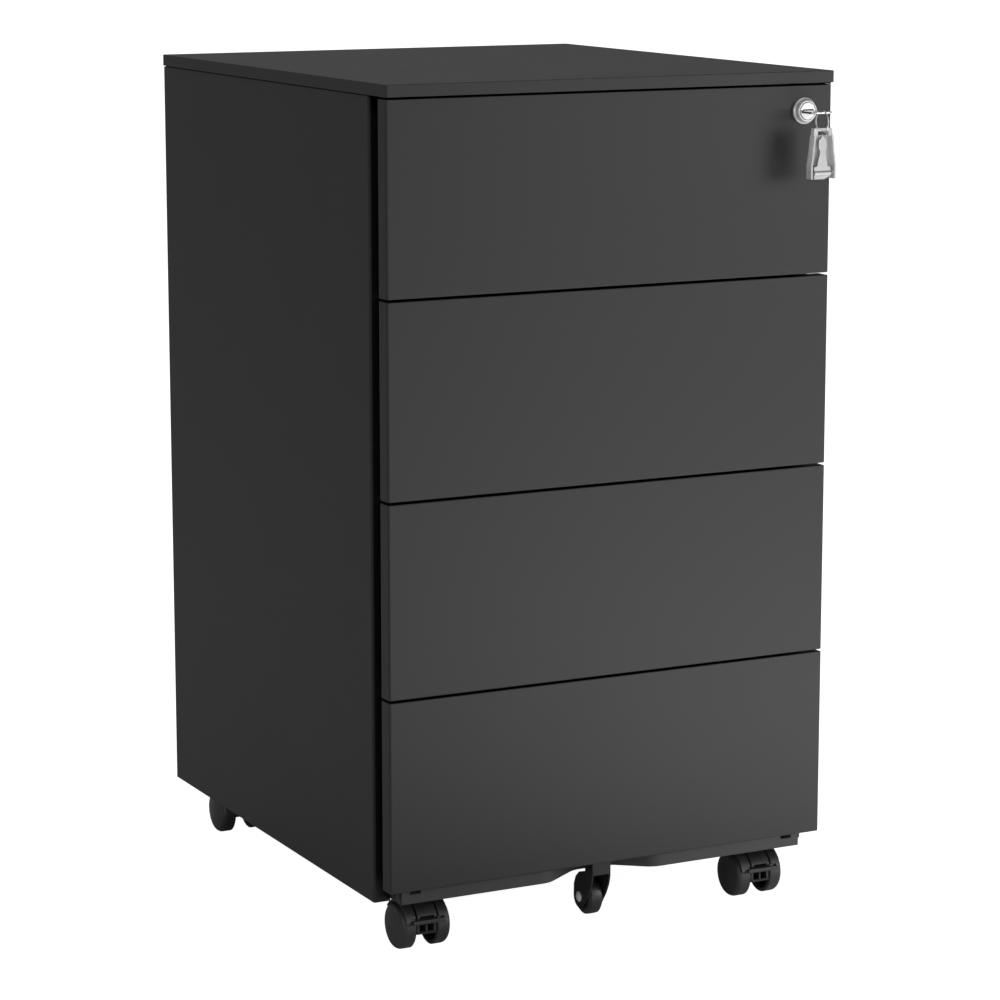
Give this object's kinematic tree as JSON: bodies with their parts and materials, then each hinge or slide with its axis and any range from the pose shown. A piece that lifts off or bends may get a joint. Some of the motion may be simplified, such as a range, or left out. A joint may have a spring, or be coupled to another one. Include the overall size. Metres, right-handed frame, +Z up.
{
  "type": "metal filing cabinet",
  "caption": "Slim steel mobile filing pedestal with stacked flush-fronted drawers, one key lock, twin-wheel casters and an anti-tip wheel under the bottom drawer.",
  "frame": {"origin": "on the floor, under the middle of the whole object", "axes": "+X to the right across the front, +Y from the drawer fronts to the back, +Z up"},
  "size_m": [0.3916, 0.4838, 0.6823],
  "materials": {
    "body_paint": "fine matt powder coat",
    "front_paint": "fine matt powder coat",
    "box_paint": "matt powder coat",
    "fork_paint": "matt powder coat",
    "zinc_steel": "bright zinc",
    "zinc_screws": "bright zinc",
    "rivet_steel": "bright",
    "chrome": "polished",
    "plug_steel": "fine turned",
    "key_metal": "nickel",
    "blade_metal": "bright nickel",
    "clear_plastic": "clear",
    "guide_plastic": "moulded",
    "caster_plastic": "moulded",
    "wheel_plastic": "moulded",
    "pedal_plastic": "moulded"
  },
  "bodies": {
    "cabinet": {"left_side_panel": "body_paint", "right_side_panel": "body_paint", "back_panel": "body_paint", "top_panel": "body_paint", "base_panel": "body_paint", "slide_uprights": "zinc_steel", "slide_outer_members": "zinc_steel", "body_fixings": "zinc_screws", "lock_bar_guides": "guide_plastic", "caster_stems": "zinc_steel"},
    "drawer_1": {"drawer_1_front": "front_paint", "drawer_1_box": "box_paint", "drawer_1_inner_rails": "zinc_steel", "drawer_1_fixings": "zinc_screws", "lock_housing": "chrome", "lock_nut": "zinc_steel"},
    "middle_rails_1": {"drawer_1_middle_rails": "zinc_steel"},
    "drawer_2": {"drawer_2_front": "front_paint", "drawer_2_box": "box_paint", "drawer_2_inner_rails": "zinc_steel", "drawer_2_fixings": "zinc_screws"},
    "middle_rails_2": {"drawer_2_middle_rails": "zinc_steel"},
    "drawer_3": {"drawer_3_front": "front_paint", "drawer_3_box": "box_paint", "drawer_3_inner_rails": "zinc_steel", "drawer_3_fixings": "zinc_screws"},
    "middle_rails_3": {"drawer_3_middle_rails": "zinc_steel"},
    "drawer_4": {"drawer_4_front": "front_paint", "drawer_4_box": "box_paint", "drawer_4_inner_rails": "zinc_steel", "drawer_4_fixings": "zinc_screws", "fifth_wheel_fork": "fork_paint", "fifth_wheel_rivet": "rivet_steel"},
    "middle_rails_4": {"drawer_4_middle_rails": "zinc_steel"},
    "lock_plug": {"lock_plug": "plug_steel", "lock_cam": "zinc_steel"},
    "lock_bar": {"lock_bar": "zinc_steel"},
    "key": {"key": "key_metal"},
    "key_ring": {"key_ring": "key_metal"},
    "key_tag": {"key_tag": "clear_plastic"},
    "spare_blade": {"spare_blade": "blade_metal"},
    "fifth_wheel": {"fifth_wheel": "wheel_plastic"},
    "front_left_caster": {"front_left_caster_hood": "caster_plastic", "front_left_caster_axle": "zinc_steel"},
    "front_left_outer_wheel": {"front_left_outer_wheel": "wheel_plastic"},
    "front_left_inner_wheel": {"front_left_inner_wheel": "wheel_plastic"},
    "front_left_brake_pedal": {"front_left_brake_pedal": "pedal_plastic"},
    "front_right_caster": {"front_right_caster_hood": "caster_plastic", "front_right_caster_axle": "zinc_steel"},
    "front_right_outer_wheel": {"front_right_outer_wheel": "wheel_plastic"},
    "front_right_inner_wheel": {"front_right_inner_wheel": "wheel_plastic"},
    "front_right_brake_pedal": {"front_right_brake_pedal": "pedal_plastic"},
    "rear_left_caster": {"rear_left_caster_hood": "caster_plastic", "rear_left_caster_axle": "zinc_steel"},
    "rear_left_outer_wheel": {"rear_left_outer_wheel": "wheel_plastic"},
    "rear_left_inner_wheel": {"rear_left_inner_wheel": "wheel_plastic"},
    "rear_right_caster": {"rear_right_caster_hood": "caster_plastic", "rear_right_caster_axle": "zinc_steel"},
    "rear_right_outer_wheel": {"rear_right_outer_wheel": "wheel_plastic"},
    "rear_right_inner_wheel": {"rear_right_inner_wheel": "wheel_plastic"}
  },
  "joints": [
    {"name": "drawer_1_slide", "type": "slide", "parent": "cabinet", "child": "drawer_1", "axis": [0, -1, 0], "range_m": [0, 0.38]},
    {"name": "middle_rails_1_slide", "type": "slide", "parent": "cabinet", "child": "middle_rails_1", "axis": [0, -1, 0], "range_m": [0, 0.19]},
    {"name": "drawer_2_slide", "type": "slide", "parent": "cabinet", "child": "drawer_2", "axis": [0, -1, 0], "range_m": [0, 0.38]},
    {"name": "middle_rails_2_slide", "type": "slide", "parent": "cabinet", "child": "middle_rails_2", "axis": [0, -1, 0], "range_m": [0, 0.19]},
    {"name": "drawer_3_slide", "type": "slide", "parent": "cabinet", "child": "drawer_3", "axis": [0, -1, 0], "range_m": [0, 0.38]},
    {"name": "middle_rails_3_slide", "type": "slide", "parent": "cabinet", "child": "middle_rails_3", "axis": [0, -1, 0], "range_m": [0, 0.19]},
    {"name": "drawer_4_slide", "type": "slide", "parent": "cabinet", "child": "drawer_4", "axis": [0, -1, 0], "range_m": [0, 0.38]},
    {"name": "middle_rails_4_slide", "type": "slide", "parent": "cabinet", "child": "middle_rails_4", "axis": [0, -1, 0], "range_m": [0, 0.19]},
    {"name": "lock_turn", "type": "hinge", "parent": "drawer_1", "child": "lock_plug", "pos_m": [0.1695, -0.2058, 0.6512], "axis": [0, -1, 0], "range_deg": [0, 90]},
    {"name": "lock_bar_lift", "type": "slide", "parent": "cabinet", "child": "lock_bar", "axis": [0, 0, 1], "range_m": [0, 0.00848]},
    {"name": "key_pull", "type": "slide", "parent": "lock_plug", "child": "key", "axis": [0, -1, 0], "range_m": [0, 0.03]},
    {"name": "ring_swing", "type": "hinge", "parent": "key", "child": "key_ring", "pos_m": [0.1695, -0.2327, 0.6512], "axis": [0.9994, 0.0349, 0], "range_deg": [-18, 18]},
    {"name": "tag_swing", "type": "hinge", "parent": "key_ring", "child": "key_tag", "pos_m": [0.1695, -0.2327, 0.6358], "axis": [-0.0349, 0.9994, 0], "range_deg": [-85, 85]},
    {"name": "blade_unfold", "type": "hinge", "parent": "key_tag", "child": "spare_blade", "pos_m": [0.1695, -0.2335, 0.604], "axis": [1, 0, 0], "range_deg": [0, 180]},
    {"name": "fifth_wheel_spin", "type": "hinge", "parent": "drawer_4", "child": "fifth_wheel", "pos_m": [0.0012, -0.1658, 0.0191], "axis": [1, 0, 0], "continuous": true},
    {"name": "front_left_swivel", "type": "hinge", "parent": "cabinet", "child": "front_left_caster", "pos_m": [-0.1532, -0.1528, 0.024], "axis": [0, 0, 1], "continuous": true},
    {"name": "front_left_outer_wheel_spin", "type": "hinge", "parent": "front_left_caster", "child": "front_left_outer_wheel", "pos_m": [-0.1532, -0.1659, 0.0188], "axis": [1, 0, 0], "continuous": true},
    {"name": "front_left_inner_wheel_spin", "type": "hinge", "parent": "front_left_caster", "child": "front_left_inner_wheel", "pos_m": [-0.1532, -0.1659, 0.0188], "axis": [1, 0, 0], "continuous": true},
    {"name": "front_left_brake_press", "type": "hinge", "parent": "front_left_caster", "child": "front_left_brake_pedal", "pos_m": [-0.1532, -0.1773, 0.026], "axis": [1, 0, 0], "range_deg": [0, 12]},
    {"name": "front_right_swivel", "type": "hinge", "parent": "cabinet", "child": "front_right_caster", "pos_m": [0.1532, -0.1528, 0.024], "axis": [0, 0, 1], "continuous": true},
    {"name": "front_right_outer_wheel_spin", "type": "hinge", "parent": "front_right_caster", "child": "front_right_outer_wheel", "pos_m": [0.1532, -0.1659, 0.0188], "axis": [1, 0, 0], "continuous": true},
    {"name": "front_right_inner_wheel_spin", "type": "hinge", "parent": "front_right_caster", "child": "front_right_inner_wheel", "pos_m": [0.1532, -0.1659, 0.0188], "axis": [1, 0, 0], "continuous": true},
    {"name": "front_right_brake_press", "type": "hinge", "parent": "front_right_caster", "child": "front_right_brake_pedal", "pos_m": [0.1532, -0.1773, 0.026], "axis": [1, 0, 0], "range_deg": [0, 12]},
    {"name": "rear_left_swivel", "type": "hinge", "parent": "cabinet", "child": "rear_left_caster", "pos_m": [-0.1532, 0.1892, 0.024], "axis": [0, 0, 1], "continuous": true},
    {"name": "rear_left_outer_wheel_spin", "type": "hinge", "parent": "rear_left_caster", "child": "rear_left_outer_wheel", "pos_m": [-0.1532, 0.2023, 0.0188], "axis": [1, 0, 0], "continuous": true},
    {"name": "rear_left_inner_wheel_spin", "type": "hinge", "parent": "rear_left_caster", "child": "rear_left_inner_wheel", "pos_m": [-0.1532, 0.2023, 0.0188], "axis": [1, 0, 0], "continuous": true},
    {"name": "rear_right_swivel", "type": "hinge", "parent": "cabinet", "child": "rear_right_caster", "pos_m": [0.1532, 0.1892, 0.024], "axis": [0, 0, 1], "continuous": true},
    {"name": "rear_right_outer_wheel_spin", "type": "hinge", "parent": "rear_right_caster", "child": "rear_right_outer_wheel", "pos_m": [0.1532, 0.2023, 0.0188], "axis": [1, 0, 0], "continuous": true},
    {"name": "rear_right_inner_wheel_spin", "type": "hinge", "parent": "rear_right_caster", "child": "rear_right_inner_wheel", "pos_m": [0.1532, 0.2023, 0.0188], "axis": [1, 0, 0], "continuous": true}
  ],
  "couplings": [
    {"joint": "middle_rails_1_slide", "follows": "drawer_1_slide", "ratio": 0.5},
    {"joint": "middle_rails_2_slide", "follows": "drawer_2_slide", "ratio": 0.5},
    {"joint": "middle_rails_3_slide", "follows": "drawer_3_slide", "ratio": 0.5},
    {"joint": "middle_rails_4_slide", "follows": "drawer_4_slide", "ratio": 0.5},
    {"joint": "lock_turn", "follows": "lock_bar_lift", "rad_per_m": 185.13}
  ]
}
